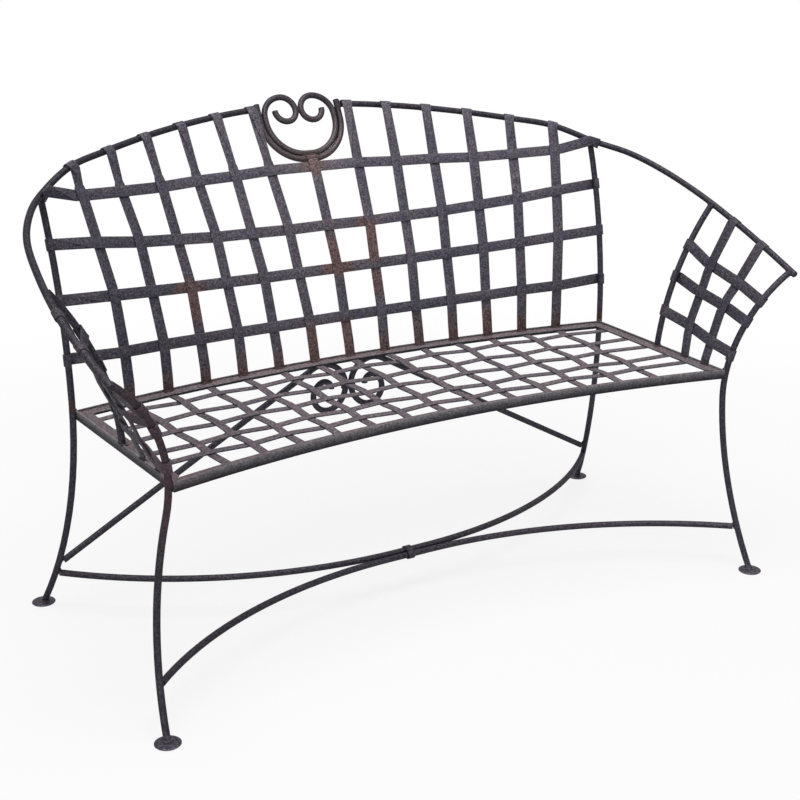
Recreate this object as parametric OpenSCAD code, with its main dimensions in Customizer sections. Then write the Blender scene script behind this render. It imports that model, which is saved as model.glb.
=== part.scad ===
// Garden bench of wrought iron: a curved angle-iron seat frame on four bent rod legs,
// with a woven strap seat, a woven strap back that is curved both ways, and woven arms.
// +X is to the right in a view from the front, the front faces -Y, and the feet stand on
// Z = 0.

/* [Stock] */
// Diameter of the round rod that legs, rails, braces and scrolls are bent from
rod_d = 12.7; // [10:0.1:16]
// Width of the flat strap that back and arms are woven from
strap_w = 22; // [16:0.5:26]
// Width of the flat strap that the seat is woven from
seat_strap_w = 16; // [12:0.5:22]
// Thickness of the flat strap
strap_t = 3; // [2:0.1:4]
// Clearance left between two pieces that are welded or clipped together
fit_gap = 0.3; // [0.2:0.05:0.5]

/* [Seat frame] */
// Height of the seat frame's flange above the ground
seat_h = 430; // [380:1:480]
// Width over the seat frame at its front corners
front_w = 1184; // [1100:1:1300]
// Width over the seat frame at its back corners
back_w = 1224; // [1120:1:1340]
// Depth of the seat frame from front corner to back corner
corner_depth = 430; // [380:1:480]
// How far the middle of the front rail is set back from its corners
front_bow = 90; // [40:1:120]
// How far the middle of the front rail lies below its corners
front_dip = 7; // [0:0.5:15]
// How far the middle of the back rail is set back from its corners
back_bow = 64; // [30:1:90]
// Width of the angle iron's top flange
flange_w = 25; // [20:0.5:32]
// Depth of the angle iron's upright leg
flange_drop = 14; // [12:0.5:25]
// How far the angle iron's upright leg stands above the flange
rim_h = 4; // [2:0.5:6]
// Wall thickness of the angle iron
angle_t = 3; // [2.5:0.1:4]

/* [Lattice] */
// Spacing of the back slats where they stand on the back rail
slat_pitch = 83.3; // [78:0.1:86]
// Spacing of the back slats where they wrap over the crest rail
slat_top_pitch = 87.3; // [84:0.1:88]
// Distance from the middle of the bench to the first wrapped slat on either side
first_top_x = 112.5; // [112:0.5:116]
// Spacing of the seat slats at the front rail
seat_front_pitch = 78; // [74:0.5:82]
// How far the back slats belly forward between rail and crest
slat_belly = 30; // [15:1:45]

/* [Crest] */
// Height of the crest rail's centre line at the middle of the bench
crest_h = 925; // [880:1:980]
// How far the crest lies behind the back corners of the seat at the middle
crest_back = 280; // [250:1:300]
// How far the crest falls from the middle to the last slat
crest_fall = 62; // [50:1:80]
// How far the crest sweeps forward from the middle to the last slat
crest_sweep = 162; // [140:1:175]
// Lean of the middle loop and its scrolls from upright
crest_lean = 28.5; // [24:0.5:34]
// Half width of the middle loop, to the rod's centre line
loop_half_w = 93.5; // [90:0.5:94]
// Depth of the middle loop below the crest line
loop_depth = 120; // [114:0.5:124]

/* [Legs and braces] */
// Distance of the front feet in front of the front corners
front_foot_out = 56; // [30:1:80]
// Distance of the back feet behind the back corners
back_foot_out = 130; // [90:1:150]
// Diameter of the round foot plates
foot_d = 46; // [38:1:60]
// Thickness of the foot plates at the rim
foot_t = 3; // [2:0.1:4]
// Height of the foot plates at their raised middle
foot_h = 5; // [4:0.1:7]
// Height of the front stretcher's centre line at the middle of the bench
stretcher_h = 71.5; // [60:0.5:80]
// How far behind the front corners the stretchers meet
stretcher_back = 246; // [220:1:265]
// Height at which the front stretcher meets the front legs
front_stretcher_end_h = 87; // [75:0.5:95]
// Height at which the back stretcher meets the back legs
back_stretcher_end_h = 79; // [70:0.5:88]
// Radius of the brace's big scroll
scroll_r = 52; // [46:0.5:55]
// Height of the brace's end on the back leg
brace_h = 98; // [94:1:130]

/* [Arms] */
// Height of the arm rail's front end
arm_tip_h = 631; // [600:1:660]
// How far the arm rail's front end stands outside the front corners
arm_tip_side = 112; // [95:1:125]

/* [Hidden] */
rod_r = rod_d / 2;
sides = ["right", "left"];
back_slats = [for (c = [1:13]) str("back_slat_", c < 10 ? "0" : "", c)];
seat_slats = [for (c = [1:13]) str("seat_slat_", c < 10 ? "0" : "", c)];
back_straps = [for (k = [1:4]) str("back_strap_", k)];
seat_straps = [for (k = [1:5]) str("seat_strap_", k)];
handed = ["side_rail", "front_leg", "back_leg", "crest_rail", "arm_post", "arm_slats",
    "arm_straps", "brace"];
single = ["front_rail", "back_rail", "front_stretcher", "back_stretcher", "stretcher_collar",
    "brace_collar", "crest_loop", "heart_scroll", "feet"];

// Seat frame: corners, the rails' arcs and the slope of the side rails
corner_front = [front_w / 2, -corner_depth / 2];
corner_back = [back_w / 2, corner_depth / 2];
front_r = bow_radius(corner_front[0], front_bow);
back_r = bow_radius(corner_back[0], back_bow);
front_mid_y = corner_front[1] + front_bow;
back_mid_y = corner_back[1] + back_bow;
rail_low = seat_h - flange_drop;
rim_top = seat_h + rim_h + fit_gap;

// Weave: half the distance between the middles of two crossing straps
weave = (strap_t + fit_gap) / 2;
wrap_step = 30;
wrap_r = (rod_r + fit_gap + strap_t / 2) / cos(wrap_step / 2);
flat_run = strap_w / 2 + 1.5;
seat_flat = seat_strap_w / 2 + 1.5;
weave_drop = angle_t + fit_gap + strap_t / 2;
seat_end = angle_t + 2.5;
front_tilt = asin(front_dip / front_bow);
// Shares of the seat's clear depth at which the seat straps cross it
seat_strap_share = [0.136, 0.288, 0.483, 0.667, 0.87];
// Rise of these shares at the outermost slats, where the straps are bowed less than the rails
seat_strap_ease = 0.045;
// Back straps below the top one: height at the middle as a share of the back's height. Then,
// for all four, the rise towards the uprights in a square and a fourth-power part
back_strap_share = [0.5293, 0.3586, 0.1657];
strap_rise = [-20, 40, 29.5, 19];
strap_lift = [40, 13, 5.5, 0];
slat_fan = 1.4;

// Crest: the loop hangs in one leaning plane through the crest line
last_top_x = first_top_x + 5 * slat_top_pitch;
crest_mid_y = corner_back[1] + crest_back;
loop_plane = crest(loop_half_w) + [0, 5, 2];
loop_low = loop_plane[2] - loop_depth * cos(crest_lean);
loop_corner_r = 88;
heart_half_w = loop_half_w - rod_d - fit_gap;
heart_top = 20;
heart_in_r = 30;
heart_curl_r = 24;

// Rail from the last slat round the shoulder and down to the arm tip
shoulder = [
    [corner_back[0] + 9, corner_back[1] + 62, crest_h - 95],
    [corner_back[0] + 56, corner_back[1] - 11, crest_h - 117],
    [corner_back[0] + 88, corner_back[1] - 92, crest_h - 148],
    [corner_back[0] + 103, corner_back[1] - 197, crest_h - 187],
    [corner_front[0] + 127, corner_front[1] + 126, arm_tip_h + 65],
    [corner_front[0] + 121, corner_front[1] + 32, arm_tip_h + 30],
    [corner_front[0] + arm_tip_side, corner_front[1] - 50, arm_tip_h]
];
stations = concat([for (i = [0:6]) crest(top_x(i))], shoulder);
tip_at = len(stations) - 1;
rail_start = (loop_half_w + rod_r + fit_gap + 1 - top_x(0)) / slat_top_pitch;
upright_at = 7;
post_at = tip_at - 2.73;
arm_slat_at = [tip_at - 2.07, tip_at - 1.14];

// Legs: one arc from the knee down to the foot, and one from the knee up to the rail, in
// planes that are turned against each other about the knee
front_twist = -90;
back_twist = -asin(0.28);
front_leg_knee = [corner_front[0] + rod_r + fit_gap + 4.6, corner_front[1] + 14, seat_h - 62];
front_leg_dir = unit([-0.177, -0.135, 0.977]);
arm_tip = rail_at(tip_at - 0.06);
front_foot = foot_at(front_leg_knee, front_leg_dir, arm_tip, front_twist,
    corner_front[1] - front_foot_out);
back_leg_knee = flat3(corner_back + (rod_r + fit_gap) * [0.5, sqrt(0.75)], seat_h + 20);
back_leg_dir = [0, 0, 1];
upright_top = rail_at(upright_at) + (rod_d + fit_gap) * [0.15, 1, -0.38];
back_foot = foot_at(back_leg_knee, back_leg_dir, upright_top, back_twist,
    corner_back[1] + back_foot_out);
leg_cut = foot_h + fit_gap;

// Stretchers: straight in the middle, where the two rods lie side by side in a collar
rod_step = rod_d + fit_gap;
step_up = 5;
step_back = sqrt(rod_step * rod_step - step_up * step_up);
front_stretcher_mid = [0, corner_front[1] + stretcher_back, stretcher_h];
back_stretcher_mid = front_stretcher_mid + [0, step_back, step_up];
front_flat = 45;
back_flat = 30;
collar_wall = 2.5;
collar_len = 14;

// Braces: a scroll behind the back rail, drawn out to the back leg
scroll_c = [rod_r + fit_gap / 2 + scroll_r, seat_h - 14 - scroll_r];
scroll_2 = 33;
scroll_3 = 17;
brace_foot = back_leg_at(brace_h);
brace_y = back_rail_y(scroll_c[0]) + rod_r + fit_gap;

// Arms: heights of the three straps on the post and on the front leg, from the top one down,
// as shares of the height from the seat to the arm rail
post_foot = flat3([side_x(corner_front[1] + 216) - angle_t, corner_front[1] + 216],
    rim_top + 0.6);
post_dir = unit([0.075, -0.06, 1]);
post_top = rail_at(post_at);
post_strap_share = [0.721, 0.506, 0.263];
leg_strap_share = [0.715, 0.513, 0.168];
arm_strap_sag = [9, 6, 1];
arm_slat_y = [corner_front[1] + 125, corner_front[1] + 61];
arm_bow = [-7, 17, 0];
arm_weave = weave + 0.1;
arm_flat = strap_w / 2 + 4.5;

// Middle of the whole bench, front to back, so that the origin is under its middle
front_most = front_foot[1] - foot_d / 2;
back_most = loop_plane[1] + heart_top * sin(crest_lean) + rod_r;
middle_y = (front_most + back_most) / 2;

iron = [0.2, 0.19, 0.2];
rusty = [0.3, 0.22, 0.19];

// Vectors
function unit(v) = v / norm(v);
function lerp(a, b, f) = a + (b - a) * f;
function flat3(p, z) = [p[0], p[1], z];

// Arcs: the radius of a bowed rail, and the one arc that leaves p along t and ends at q
function bow_radius(half, bow) = (half * half + bow * bow) / (2 * bow);
function half_turn(p, t, q) = acos(t * unit(q - p));
function inward(p, t, q) = unit((q - p) - t * (t * (q - p)));
function bend_radius(p, t, q) = norm(q - p) / (2 * sin(half_turn(p, t, q)));
function arc_at(p, t, q, f) =
    let (a = 2 * half_turn(p, t, q) * f, r = bend_radius(p, t, q), n = inward(p, t, q))
    p + n * r * (1 - cos(a)) + t * r * sin(a);
function arc_dir(p, t, q, f) =
    let (a = 2 * half_turn(p, t, q) * f)
    t * cos(a) + inward(p, t, q) * sin(a);
// Share of an arc at which it passes height z, found by halving
function share_at(p, t, q, z, low = 0, high = 1, n = 24) =
    let (m = (low + high) / 2)
    n == 0 ? m
    : (arc_at(p, t, q, m)[2] > z) == (q[2] < p[2]) ? share_at(p, t, q, z, m, high, n - 1)
    : share_at(p, t, q, z, low, m, n - 1);
// Foot of a leg at the given y: there the plane of its lower arc meets the ground
function foot_at(k, t, high, twist, y) =
    let (u = inward(k, t, high), n = cross(t, u) * cos(twist) - u * sin(twist))
    [k[0] - (n[1] * (y - k[1]) - n[2] * k[2]) / n[0], y, 0];
// Points of the legs' lower arcs at height z
function back_leg_at(z) = arc_at(back_leg_knee, -back_leg_dir, back_foot,
    share_at(back_leg_knee, -back_leg_dir, back_foot, z));
function front_leg_at(z) = arc_at(front_leg_knee, -front_leg_dir, front_foot,
    share_at(front_leg_knee, -front_leg_dir, front_foot, z));
// Length cut off a rod along u so that its end clears a rod along v that it butts against
function butt(u, v) =
    let (c = abs(unit(u) * unit(v)))
    (rod_r + fit_gap + rod_r * c) / sqrt(1 - c * c);

// Seat frame edges: outer faces of the front and back rails, and of the side rails
function front_rail_y(x) = front_mid_y - front_r + sqrt(front_r * front_r - x * x);
function back_rail_y(x) = back_mid_y - back_r + sqrt(back_r * back_r - x * x);
function side_x(y) = lerp(corner_front[0], corner_back[0], (y - corner_front[1]) / corner_depth);

// Crest line as a function of x, and where the slats meet it
function top_x(i) = first_top_x + (i - 1) * slat_top_pitch;
function crest(x) =
    let (f = pow(abs(x) / last_top_x, 1.85))
    [x, crest_mid_y - crest_sweep * f, crest_h - crest_fall * f];

// Smooth curve through the rail's stations, with t counted in stations
function station(i) =
    i < 0 ? 2 * stations[0] - stations[1]
    : i > tip_at ? 2 * stations[tip_at] - stations[tip_at - 1]
    : stations[i];
function rail_at(t) =
    let (i = min(floor(t), tip_at - 1), u = t - i,
        a = station(i - 1), b = station(i), c = station(i + 1), d = station(i + 2))
    0.5 * (2 * b + (c - a) * u + (2 * a - 5 * b + 4 * c - d) * u * u
        + (3 * b - a - 3 * c + d) * u * u * u);
function rail_dir(t) = unit(rail_at(t + 0.02) - rail_at(t - 0.02));

// Back lattice: the surface point at slat number i (0 is the middle slat) and height z
function slat_foot(i) =
    let (x = slat_pitch * i)
    [x, back_rail_y(x) - angle_t - fit_gap - strap_t / 2 - 0.9, seat_h + fit_gap + 0.4];
function slat_head(i) =
    let (a = abs(i), p = crest(a < 1 ? a * first_top_x : top_x(a)))
    [sign(i) * p[0], p[1], p[2]];
function back_at(i, z) =
    let (b = slat_foot(i), t = slat_head(i), f = max(0, (z - b[2]) / (t[2] - b[2])),
        turn = asin(b[0] / back_r), p = lerp(b, t, f))
    [lerp(b[0], t[0], pow(f, slat_fan)), p[1], z]
        - 4 * f * (1 - f) * slat_belly * [sin(turn), cos(turn), 0];
function back_normal(i, z) = unit(cross(back_at(i + 0.1, z) - back_at(i - 0.1, z),
    back_at(i, z + 1) - back_at(i, z - 1)));
function back_up(i, z) = unit(back_at(i, z + 1) - back_at(i, z - 1));
function strap_z(i, k) =
    let (f = pow(i / 7, 2),
        mid = k == 1 ? loop_low - rod_d : lerp(seat_h, crest_h, back_strap_share[k - 2]))
    mid + strap_rise[k - 1] * f + strap_lift[k - 1] * f * f;
// 1 where a back slat lies in front of a strap, -1 where it lies behind it
function slat_side(i, k) = (i + 7 + k) % 2 == 0 ? 1 : -1;

// Seat lattice: slats run under the front flange, then straight to the back flange.
// A point of the tilted front rail: in is its distance from the outer face, down from the top
function front_point(x, in, down) =
    let (d = front_rail_y(x) - corner_front[1] + in)
    [x, corner_front[1] + d * cos(front_tilt) - down * sin(front_tilt),
        seat_h - d * sin(front_tilt) - down * cos(front_tilt)];
function seat_front_end(i) = front_point(seat_front_pitch * i, seat_end, weave_drop);
function seat_front_in(i) = front_point(seat_front_pitch * i, flange_w + 2, weave_drop);
function seat_back_end(i) =
    let (x = slat_pitch * i)
    [x, back_rail_y(x) - seat_end, seat_h - weave_drop];
seat_run = seat_back_end(0)[1] - seat_front_in(0)[1];
seat_clear = seat_run + seat_end + 2 - flange_w;
function seat_at(i, k) =
    let (share = seat_strap_share[k - 1] + seat_strap_ease * pow(i / 6, 2))
    lerp(seat_front_in(i), seat_back_end(i), (share * seat_clear - 2) / seat_run);
function seat_dir(i) = unit(seat_back_end(i) - seat_front_in(i));
function seat_along(i, k) = unit(seat_at(i + 0.1, k) - seat_at(i - 0.1, k));
function seat_normal(i, k) = unit(cross(seat_along(i, k), seat_dir(i)));
function seat_side(i, k) = (i + 7 + k) % 2 == 0 ? -1 : 1;

// Arm lattice, right arm: slat j (1 rear, 2 front) at height z, straps k from the top down;
// j is 0 at the post and 3 at the front leg
function arm_slat_foot(j) =
    [side_x(arm_slat_y[j - 1]) - angle_t / 2, arm_slat_y[j - 1], rim_top];
function arm_at(j, z) =
    let (b = arm_slat_foot(j), t = rail_at(arm_slat_at[j - 1]), f = (z - b[2]) / (t[2] - b[2]))
    lerp(b, t, f) + 4 * f * (1 - f) * arm_bow;
function arm_strap_end(j, k) = j == 0
    ? arc_at(post_foot, post_dir, post_top, post_share(k))
    : arc_at(front_leg_knee, front_leg_dir, arm_tip, leg_share(k));
function arm_rod_dir(j, k) = j == 0
    ? arc_dir(post_foot, post_dir, post_top, post_share(k))
    : arc_dir(front_leg_knee, front_leg_dir, arm_tip, leg_share(k));
function post_share(k) = share_at(post_foot, post_dir, post_top,
    lerp(seat_h, post_top[2], post_strap_share[k - 1]));
function leg_share(k) = share_at(front_leg_knee, front_leg_dir, arm_tip,
    lerp(seat_h, arm_tip[2], leg_strap_share[k - 1]));
function arm_strap_z(j, k) =
    let (a = arm_strap_end(0, k), b = arm_strap_end(3, k),
        f = (arm_slat_y[j - 1] - a[1]) / (b[1] - a[1]))
    lerp(a[2], b[2], f) - arm_strap_sag[k - 1];
function arm_cross(j, k) = arm_at(j, arm_strap_z(j, k));
function arm_up(j, k) =
    let (z = arm_strap_z(j, k))
    unit(arm_at(j, z + 1) - arm_at(j, z - 1));
function arm_run(k) = unit(arm_cross(2, k) - arm_cross(1, k));
function arm_out(j, k) = unit(cross(arm_up(j, k), arm_run(k)));
// 1 where an arm strap lies outside a slat, post or leg, -1 where it lies inside
function arm_side(j, k) = (j + k) % 2 == 0 ? 1 : -1;

// Path of a strap end that wraps round a rod: c on the rod's axis, n the side on which it
// arrives, along its direction of travel, w the rod's own direction, r the rod's bend radius
function wrap_path(c, n, along, w, r) =
    let (out = wrap_r + bulge(r))
    concat([[c + out * n - rod_r * along, w]],
        [for (a = [0:wrap_step:210]) [c + out * (cos(a) * n + sin(a) * along), w]]);
// How far a rod of bend radius r bulges towards a strap laid across it
function bulge(r) = strap_w * strap_w / (8 * r);
function rail_bend(t) =
    norm(rail_at(t + 0.1) - rail_at(t - 0.1)) / norm(rail_dir(t + 0.1) - rail_dir(t - 0.1));

// Solids from rings of points
module skin(rings) {
    m = len(rings[0]);
    last = len(rings) - 1;
    pts = [for (r = rings, p = r) p];
    sides_ = [for (i = [0:last - 1], j = [0:m - 1])
        let (a = i * m + j, b = i * m + (j + 1) % m, c = a + m, d = b + m)
        each [[a, c, b], [b, c, d]]];
    low = [for (j = [1:m - 2]) [0, j, j + 1]];
    high = [for (j = [1:m - 2]) [last * m, last * m + j + 1, last * m + j]];
    polyhedron(pts, concat(low, sides_, high));
}

// Flat strap bent along a path of [point, direction of its width]
module strip(path, w = strap_w, t = strap_t) {
    n = len(path) - 1;
    rings = [for (i = [0:n])
        let (p = path[i][0],
            along = unit(path[min(i + 1, n)][0] - path[max(i - 1, 0)][0]),
            up = unit(cross(along, path[i][1])),
            out = cross(up, along) * w / 2,
            half = up * t / 2)
        [p + out + half, p - out + half, p - out - half, p + out - half]];
    skin(rings);
}

// Round rod swept along a list of points that never run straight up
module swept_rod(points, faces = 12) {
    n = len(points) - 1;
    rings = [for (i = [0:n])
        let (along = unit(points[min(i + 1, n)] - points[max(i - 1, 0)]),
            a = unit(cross([0, 0, 1], along)),
            b = cross(along, a))
        [for (s = [0:faces - 1]) points[i] + rod_r * (cos(s * 360 / faces) * a
            - sin(s * 360 / faces) * b)]];
    skin(rings);
}

// Round rod bent along the one arc that leaves p along t and ends at q, cut short by trim
module bent_rod(p, t, q, trim = 0) {
    r = bend_radius(p, t, q);
    turn = 2 * half_turn(p, t, q) - trim / r * 180 / PI;
    toward = inward(p, t, q);
    x = -toward;
    z = cross(x, t);
    c = p + toward * r;
    multmatrix([[x[0], t[0], z[0], c[0]], [x[1], t[1], z[1], c[1]], [x[2], t[2], z[2], c[2]],
        [0, 0, 0, 1]])
        rotate_extrude(angle = turn, $fn = 128)
            translate([r, 0])
                circle(r = rod_r, $fn = 32);
}

// Arc of rod in the X-Y plane round c, from angle a0 through turn
module rod_arc(c, r, a0, turn) {
    translate([c[0], c[1], 0])
        rotate([0, 0, a0])
            rotate_extrude(angle = turn, $fn = 96)
                translate([r, 0])
                    circle(r = rod_r, $fn = 32);
}

// Straight rod in the X-Y plane from a, len along +X or +Y
module rod_x(a, len) {
    translate([a[0], a[1], 0])
        rotate([0, 90, 0])
            cylinder(h = len, r = rod_r, $fn = 32);
}

module rod_y(a, len) {
    translate([a[0], a[1], 0])
        rotate([-90, 0, 0])
            cylinder(h = len, r = rod_r, $fn = 32);
}

// Everything is drawn about the seat, then moved so that the origin is under the middle
module placed() {
    translate([0, -middle_y, 0])
        children();
}

module handed(side) {
    placed()
        mirror([side == "left" ? 1 : 0, 0, 0])
            children();
}

// Angle iron: upright leg on the outside, flange on top; +X points inwards
module angle_profile() {
    translate([0, rail_low])
        square([angle_t, flange_drop + rim_h]);
    translate([0, seat_h - angle_t])
        square([flange_w, angle_t]);
}

// Half space beyond a mitre that runs from the corner inwards at the given angle;
// side 1 is to the left of the mitre line, -1 to its right
module mitre_cut(corner, angle, side) {
    translate([corner[0], corner[1], rail_low - 10])
        rotate([0, 0, angle])
            translate([-front_w / 6, side > 0 ? -fit_gap / 2 : fit_gap / 2 - 2 * front_w, 0])
                cube([1.4 * front_w, 2 * front_w, flange_drop + rim_h + 20]);
}

side_angle = atan2(corner_depth, corner_back[0] - corner_front[0]);
front_mitre = (180 - asin(corner_front[0] / front_r) + side_angle) / 2;
back_mitre = (180 - asin(corner_back[0] / back_r) + side_angle + 180) / 2;

module front_rail() {
    reach = asin(corner_front[0] / front_r) + 2;
    color(rusty)
        placed()
            difference() {
                translate([0, corner_front[1], seat_h])
                    rotate([-front_tilt, 0, 0])
                        translate([0, front_bow - front_r, -seat_h])
                            rotate([0, 0, 90 - reach])
                                rotate_extrude(angle = 2 * reach, $fn = 360)
                                    translate([front_r, 0])
                                        angle_profile();
                mitre_cut(corner_front, front_mitre, -1);
                mirror([1, 0, 0])
                    mitre_cut(corner_front, front_mitre, -1);
            }
}

module back_rail() {
    reach = asin(corner_back[0] / back_r) + 2;
    color(rusty)
        placed()
            difference() {
                translate([0, back_mid_y - back_r, 0])
                    rotate([0, 0, 90 - reach])
                        rotate_extrude(angle = 2 * reach, $fn = 360)
                            translate([back_r, 0])
                                mirror([1, 0])
                                    angle_profile();
                mitre_cut(corner_back, back_mitre, 1);
                mirror([1, 0, 0])
                    mitre_cut(corner_back, back_mitre, 1);
            }
}

module side_rail(side) {
    color(rusty)
        handed(side)
            difference() {
                translate([corner_front[0], corner_front[1], 0])
                    rotate([0, 0, side_angle - 90])
                        translate([0, corner_depth + flange_w + 50, 0])
                            rotate([90, 0, 0])
                                mirror([1, 0, 0])
                                    linear_extrude(height = corner_depth + 2 * flange_w + 100)
                                        angle_profile();
                mitre_cut(corner_front, front_mitre, 1);
                mitre_cut(corner_back, back_mitre, -1);
            }
}

// Front leg: foot to seat in one arc, seat to arm tip in a second, tighter one
module front_leg(side) {
    color(iron)
        handed(side)
            difference() {
                knee_rod(front_leg_knee, front_leg_dir, front_foot, arm_tip, front_twist,
                    butt(arc_dir(front_leg_knee, front_leg_dir, arm_tip, 1), rail_dir(tip_at)));
                foot_level();
            }
}

// Back leg: foot to seat, then up as the end upright of the back, to just behind the rail
module back_leg(side) {
    color(iron)
        handed(side)
            difference() {
                knee_rod(back_leg_knee, back_leg_dir, back_foot, upright_top, back_twist, 0);
                foot_level();
            }
}

// Two arcs of one rod that part from the knee k, one along t and one against it. They are
// joined where the knee lies on Z = 0 and the upper arc bends towards +X, and the whole rod
// is then set in place. The upper end is cut short by trim.
module knee_rod(k, t, low, high, twist, trim) {
    x = inward(k, t, high);
    y = cross(t, x);
    r = bend_radius(k, t, high);
    multmatrix([[x[0], y[0], t[0], k[0]], [x[1], y[1], t[1], k[1]], [x[2], y[2], t[2], k[2]],
        [0, 0, 0, 1]])
        union() {
            rising_arc(r, 2 * half_turn(k, t, high) - trim / r * 180 / PI);
            rotate([0, 0, twist])
                mirror([0, 0, 1])
                    rising_arc(bend_radius(k, -t, low), 2 * half_turn(k, -t, low));
        }
}

// Arc of rod that starts at the origin along +Z and bends towards +X
module rising_arc(r, turn) {
    translate([r, 0, 0])
        rotate([0, 0, 180])
            rotate([90, 0, 0])
                rotate_extrude(angle = turn, $fn = 128)
                    translate([r, 0])
                        circle(r = rod_r, $fn = 32);
}

module foot_level() {
    translate([0, -back_w, leg_cut - foot_d])
        cube([back_w, 2 * back_w, foot_d]);
}

// Round foot plates, raised in the middle where the leg stands
module feet() {
    color(iron)
        placed()
            for (m = [0, 1], f = [front_foot, back_foot])
                mirror([m, 0, 0])
                    translate([f[0], f[1], 0])
                        rotate_extrude($fn = 64)
                            polygon([[0, 0], [foot_d / 2 - 1, 0], [foot_d / 2, 1],
                                [foot_d / 2, foot_t - 1], [foot_d / 2 - 1.5, foot_t],
                                [rod_r + 5, foot_h], [0, foot_h]]);
}

// Half of a stretcher in its own plane: straight from the middle, then an arc to the leg
module stretcher_half(end, rise, flat, leg) {
    run = end[0] - flat;
    r = (run * run + rise * rise) / (2 * rise);
    turn = asin(run / r);
    trim = butt([cos(turn), sin(turn), 0], leg);
    rod_x([0, 0], flat);
    rod_arc([flat, r], r, -90, turn - trim / r * 180 / PI);
}

// Stretcher in a plane that leans, from one leg through mid to the other; leg is the
// direction of the leg that it butts against at the point end
module stretcher(mid, end, flat, leg) {
    run = end - mid;
    rise = norm([run[1], run[2]]);
    lean = atan2(run[2], run[1]);
    turned = [leg[0], leg[1] * cos(lean) + leg[2] * sin(lean),
        leg[2] * cos(lean) - leg[1] * sin(lean)];
    placed()
        translate(mid)
            rotate([lean, 0, 0])
                union() {
                    stretcher_half(end, rise, flat, turned);
                    mirror([1, 0, 0])
                        stretcher_half(end, rise, flat, turned);
                }
}

module front_stretcher() {
    color(iron)
        stretcher(front_stretcher_mid, front_leg_at(front_stretcher_end_h), front_flat,
            front_leg_at(front_stretcher_end_h + 1) - front_leg_at(front_stretcher_end_h - 1));
}

module back_stretcher() {
    color(iron)
        stretcher(back_stretcher_mid, back_leg_at(back_stretcher_end_h), back_flat,
            back_leg_at(back_stretcher_end_h + 1) - back_leg_at(back_stretcher_end_h - 1));
}

// Band bent round two rods that lie side by side; the rods run along X
module pair_band(step, r, wall, len) {
    difference() {
        oblong(step, r + wall, len);
        translate([-1, 0, 0])
            oblong(step, r, len + 2);
    }
}

module oblong(step, r, len) {
    for (y = [-step / 2, step / 2])
        translate([0, y, 0])
            rotate([0, 90, 0])
                cylinder(h = len, r = r, $fn = 48);
    translate([0, -step / 2, -r])
        cube([len, step, 2 * r]);
}

module stretcher_collar() {
    color(iron)
        placed()
            translate((front_stretcher_mid + back_stretcher_mid) / 2)
                rotate([atan2(step_up, step_back), 0, 0])
                    translate([-collar_len / 2, 0, 0])
                        pair_band(rod_step, rod_r + fit_gap, collar_wall, collar_len);
}

module brace_collar() {
    sag = collar_len * collar_len / (8 * scroll_r);
    color(iron)
        placed()
            translate([0, brace_y, scroll_c[1] - collar_len / 2])
                rotate([0, -90, 90])
                    pair_band(rod_step, rod_r + fit_gap + sag, collar_wall, collar_len);
}

// Brace: straight from the back leg, then a three-part scroll that closes in on itself
module brace(side) {
    yaw = atan2(brace_foot[1] - brace_y, brace_foot[0] - rod_r);
    away = [(scroll_c[0] - brace_foot[0]) / cos(yaw), scroll_c[1] - brace_h];
    gap = norm(away);
    heading = atan2(away[1], away[0]) - asin(scroll_r / gap);
    run = sqrt(gap * gap - scroll_r * scroll_r);
    start = butt([cos(heading) * cos(yaw), cos(heading) * sin(yaw), sin(heading)],
        back_leg_at(brace_h + 1) - back_leg_at(brace_h - 1));
    color(iron)
        handed(side)
            translate([brace_foot[0], brace_foot[1], brace_h])
                rotate([0, 0, yaw])
                    rotate([90, 0, 0])
                        rotate([0, 0, heading])
                            translate([run, 0, 0])
                                union() {
                                    rod_x([start - run, 0], run - start);
                                    rod_arc([0, scroll_r], scroll_r, -90, 180);
                                    rod_arc([0, 2 * scroll_r - scroll_2], scroll_2, 90, 180);
                                    rod_arc([0, 2 * scroll_r - 2 * scroll_2 + scroll_3], scroll_3,
                                        -90, 120);
                                }
}

// Middle loop and scrolls, drawn flat with +Y up the back, then leaned into place
module in_loop_plane() {
    placed()
        translate([0, loop_plane[1], loop_plane[2]])
            rotate([90 - crest_lean, 0, 0])
                children();
}

module crest_loop_half() {
    corner = [loop_half_w - loop_corner_r, loop_corner_r - loop_depth];
    rod_y([loop_half_w, corner[1]], rod_r - corner[1]);
    rod_arc(corner, loop_corner_r, -90, 90);
    rod_x([0, -loop_depth], corner[0]);
}

module crest_loop() {
    color(iron)
        in_loop_plane()
            union() {
                crest_loop_half();
                mirror([1, 0, 0])
                    crest_loop_half();
            }
}

// One side of the heart: up beside the loop, over, and in to a curl that ends turned up
module heart_half() {
    shrink = rod_d + fit_gap;
    corner = [loop_half_w - loop_corner_r, loop_corner_r - loop_depth];
    touch_x = rod_r + fit_gap;
    in_c = [touch_x + heart_in_r, heart_top - heart_in_r];
    over_r = heart_half_w - in_c[0];
    over_c = [in_c[0], heart_top - over_r];
    rod_x([0, shrink - loop_depth], corner[0]);
    rod_arc(corner, loop_corner_r - shrink, -90, 90);
    rod_y([heart_half_w, corner[1]], over_c[1] - corner[1]);
    rod_arc(over_c, over_r, 0, 90);
    rod_arc(in_c, heart_in_r, 90, 90);
    rod_arc([touch_x + heart_curl_r, in_c[1]], heart_curl_r, 180, 180);
}

module heart_scroll() {
    color(rusty)
        in_loop_plane()
            union() {
                heart_half();
                mirror([1, 0, 0])
                    heart_half();
            }
}

// Crest rail and arm rail in one rod, from the loop to the arm tip
module crest_rail(side) {
    points = [for (t = [rail_start:(tip_at + 0.1 - rail_start) / 46:tip_at + 0.1]) rail_at(t)];
    color(iron)
        handed(side)
            swept_rod(points);
}

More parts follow.
